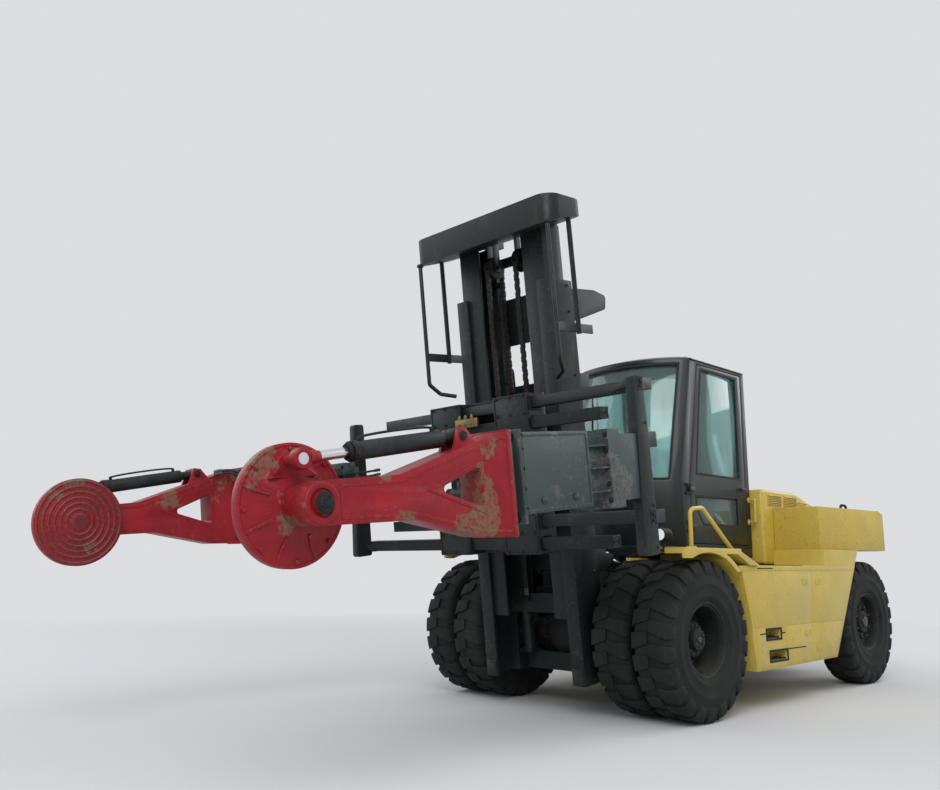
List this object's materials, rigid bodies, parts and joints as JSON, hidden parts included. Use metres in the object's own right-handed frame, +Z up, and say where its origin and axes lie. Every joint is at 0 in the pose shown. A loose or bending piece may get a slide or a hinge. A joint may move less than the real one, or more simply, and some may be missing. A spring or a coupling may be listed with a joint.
{
  "type": "tyre handler",
  "caption": "Counterbalance truck with a leaning mast and a clamp of two sliding arms with turning round pads for handling very large tyres.",
  "frame": {"origin": "on the ground under the middle of the drive axle, midway between the pads' front and the weight's rear", "axes": "+Y towards the truck's rear, +X towards its left side, +Z up"},
  "size_m": [3.65, 9.2566, 4.6034],
  "materials": {
    "yellow_paint": "gloss paint, weathered",
    "dark_paint": "dark teal-grey paint",
    "grey_paint": "satin teal-grey paint",
    "red_paint": "gloss red paint, scuffed",
    "black_steel": "satin black",
    "cast_weight": "yellow paint over cast iron",
    "tyre_rubber": "dusty tyre rubber",
    "rim_paint": "dark rim paint, dusty",
    "rod_chrome": "polished cylinder rod",
    "glass": "green tinted glass",
    "chain_steel": "greased leaf chain",
    "seat_cloth": "dark seat cloth",
    "cab_plastic": "moulded cab trim",
    "lamp": "lamp body and lens",
    "engine_iron": "plain engine block"
  },
  "bodies": {
    "root": {"chassis": "black_steel", "tilt_feet": "black_steel", "drive_axle": "black_steel", "steer_axle": "black_steel", "engine_block": "engine_iron", "counterweight": "cast_weight", "hood": "yellow_paint", "side_bodies": "yellow_paint", "fenders": "yellow_paint", "grab_rails": "yellow_paint", "head_lamps": "lamp", "cab_base": "dark_paint", "cab_frame": "dark_paint", "cab_roof": "dark_paint", "cab_glass": "glass", "seat_base": "cab_plastic", "seat": "seat_cloth", "steering_column": "cab_plastic"},
    "steer_rod": {"steer_rod": "rod_chrome"},
    "outer_mast": {"outer_mast": "dark_paint", "lift_barrels": "dark_paint"},
    "inner_mast": {"inner_mast": "dark_paint", "crosshead": "dark_paint", "lift_rods": "rod_chrome", "lift_chains": "chain_steel"},
    "carriage": {"carriage": "dark_paint", "slide_frame": "dark_paint", "clamp_barrels": "dark_paint"},
    "drive_wheel_left": {"drive_tyres_left": "tyre_rubber", "drive_rims_left": "rim_paint"},
    "knuckle_left": {"knuckle_left": "black_steel"},
    "steer_wheel_left": {"steer_tyre_left": "tyre_rubber", "steer_rim_left": "rim_paint"},
    "door_left": {"door_left": "dark_paint", "door_glass_left": "glass"},
    "tilt_cylinder_left": {"tilt_cylinder_left": "dark_paint"},
    "tilt_rod_left": {"tilt_rod_left": "rod_chrome"},
    "arm_left": {"arm_carrier_left": "dark_paint", "arm_box_left": "grey_paint", "arm_left": "red_paint"},
    "pad_left": {"pad_left": "red_paint"},
    "pad_cylinder_left": {"pad_cylinder_left": "dark_paint"},
    "pad_rod_left": {"pad_rod_left": "rod_chrome"},
    "drive_wheel_right": {"drive_tyres_right": "tyre_rubber", "drive_rims_right": "rim_paint"},
    "knuckle_right": {"knuckle_right": "black_steel"},
    "steer_wheel_right": {"steer_tyre_right": "tyre_rubber", "steer_rim_right": "rim_paint"},
    "door_right": {"door_right": "dark_paint", "door_glass_right": "glass"},
    "tilt_cylinder_right": {"tilt_cylinder_right": "dark_paint"},
    "tilt_rod_right": {"tilt_rod_right": "rod_chrome"},
    "arm_right": {"arm_carrier_right": "dark_paint", "arm_box_right": "grey_paint", "arm_right": "red_paint"},
    "pad_right": {"pad_right": "red_paint"},
    "pad_cylinder_right": {"pad_cylinder_right": "dark_paint"},
    "pad_rod_right": {"pad_rod_right": "rod_chrome"}
  },
  "joints": [
    {"name": "mast_tilt", "type": "hinge", "parent": "root", "child": "outer_mast", "pos_m": [0, -0.26268, 0.66387], "axis": [1, 0, 0], "range_deg": [-13, 3]},
    {"name": "mast_lift", "type": "slide", "parent": "outer_mast", "child": "inner_mast", "axis": [0, -0.1219, 0.9925], "range_m": [-0.42, 1.25]},
    {"name": "carriage_lift", "type": "slide", "parent": "inner_mast", "child": "carriage", "axis": [0, -0.1219, 0.9925], "range_m": [-0.42, 1.25]},
    {"name": "steer_left", "type": "hinge", "parent": "root", "child": "knuckle_left", "pos_m": [1.04, 3.65, 0.685], "axis": [0, 0, 1], "range_deg": [-40, 40]},
    {"name": "steer_right", "type": "hinge", "parent": "root", "child": "knuckle_right", "pos_m": [-1.04, 3.65, 0.685], "axis": [0, 0, 1], "range_deg": [-40, 40]},
    {"name": "steer_rod_slide", "type": "slide", "parent": "root", "child": "steer_rod", "axis": [1, 0, 0], "range_m": [-0.155, 0.155]},
    {"name": "drive_spin_left", "type": "hinge", "parent": "root", "child": "drive_wheel_left", "pos_m": [1.08, 0, 0.685], "axis": [1, 0, 0], "continuous": true},
    {"name": "steer_spin_left", "type": "hinge", "parent": "knuckle_left", "child": "steer_wheel_left", "pos_m": [1.2, 3.65, 0.685], "axis": [1, 0, 0], "continuous": true},
    {"name": "door_hinge_left", "type": "hinge", "parent": "root", "child": "door_left", "pos_m": [0.793, 0.888, 1.89], "axis": [0, 0, 1], "range_deg": [-75, 0]},
    {"name": "tilt_swing_left", "type": "hinge", "parent": "root", "child": "tilt_cylinder_left", "pos_m": [0.52, 0.82, 1.08], "axis": [1, 0, 0], "range_deg": [-3, 3]},
    {"name": "tilt_rod_slide_left", "type": "slide", "parent": "tilt_cylinder_left", "child": "tilt_rod_left", "axis": [0, -0.9611, 0.2762], "range_m": [-0.1624, 0.039]},
    {"name": "arm_slide_left", "type": "slide", "parent": "carriage", "child": "arm_left", "axis": [1, 0, 0], "range_m": [-0.55, 0.25]},
    {"name": "pad_turn_left", "type": "hinge", "parent": "arm_left", "child": "pad_left", "pos_m": [1.5, -4.28861, 1.63145], "axis": [1, 0, 0], "range_deg": [-45, 45]},
    {"name": "pad_cylinder_swing_left", "type": "hinge", "parent": "arm_left", "child": "pad_cylinder_left", "pos_m": [1.7, -3.25439, 2.09494], "axis": [1, 0, 0], "range_deg": [-12, 12]},
    {"name": "pad_rod_slide_left", "type": "slide", "parent": "pad_cylinder_left", "child": "pad_rod_left", "axis": [0, -0.9788, -0.2046], "range_m": [-0.1809, 0.1809]},
    {"name": "drive_spin_right", "type": "hinge", "parent": "root", "child": "drive_wheel_right", "pos_m": [-1.08, 0, 0.685], "axis": [1, 0, 0], "continuous": true},
    {"name": "steer_spin_right", "type": "hinge", "parent": "knuckle_right", "child": "steer_wheel_right", "pos_m": [-1.2, 3.65, 0.685], "axis": [1, 0, 0], "continuous": true},
    {"name": "door_hinge_right", "type": "hinge", "parent": "root", "child": "door_right", "pos_m": [-0.793, 0.888, 1.89], "axis": [0, 0, -1], "range_deg": [-75, 0]},
    {"name": "tilt_swing_right", "type": "hinge", "parent": "root", "child": "tilt_cylinder_right", "pos_m": [-0.52, 0.82, 1.08], "axis": [1, 0, 0], "range_deg": [-3, 3]},
    {"name": "tilt_rod_slide_right", "type": "slide", "parent": "tilt_cylinder_right", "child": "tilt_rod_right", "axis": [0, -0.9611, 0.2762], "range_m": [-0.1624, 0.039]},
    {"name": "arm_slide_right", "type": "slide", "parent": "carriage", "child": "arm_right", "axis": [-1, 0, 0], "range_m": [-0.55, 0.25]},
    {"name": "pad_turn_right", "type": "hinge", "parent": "arm_right", "child": "pad_right", "pos_m": [-1.5, -4.28861, 1.63145], "axis": [1, 0, 0], "range_deg": [-45, 45]},
    {"name": "pad_cylinder_swing_right", "type": "hinge", "parent": "arm_right", "child": "pad_cylinder_right", "pos_m": [-1.7, -3.25439, 2.09494], "axis": [1, 0, 0], "range_deg": [-12, 12]},
    {"name": "pad_rod_slide_right", "type": "slide", "parent": "pad_cylinder_right", "child": "pad_rod_right", "axis": [0, -0.9788, -0.2046], "range_m": [-0.1809, 0.1809]}
  ],
  "couplings": [
    {"joint": "carriage_lift", "follows": "mast_lift", "ratio": 1},
    {"joint": "steer_right", "follows": "steer_left", "ratio": 1},
    {"joint": "steer_rod_slide", "follows": "steer_left", "m_per_rad": -0.215},
    {"joint": "tilt_swing_left", "follows": "mast_tilt", "ratio": 0.08923},
    {"joint": "tilt_rod_slide_left", "follows": "mast_tilt", "m_per_rad": 0.70699},
    {"joint": "pad_cylinder_swing_left", "follows": "pad_turn_left", "ratio": 0.01459},
    {"joint": "pad_rod_slide_left", "follows": "pad_turn_left", "m_per_rad": 0.22779},
    {"joint": "tilt_swing_right", "follows": "mast_tilt", "ratio": 0.08923},
    {"joint": "tilt_rod_slide_right", "follows": "mast_tilt", "m_per_rad": 0.70699},
    {"joint": "pad_cylinder_swing_right", "follows": "pad_turn_left", "ratio": 0.01459},
    {"joint": "pad_rod_slide_right", "follows": "pad_turn_left", "m_per_rad": 0.22779},
    {"joint": "arm_slide_right", "follows": "arm_slide_left", "ratio": 1},
    {"joint": "pad_turn_right", "follows": "pad_turn_left", "ratio": 1}
  ]
}
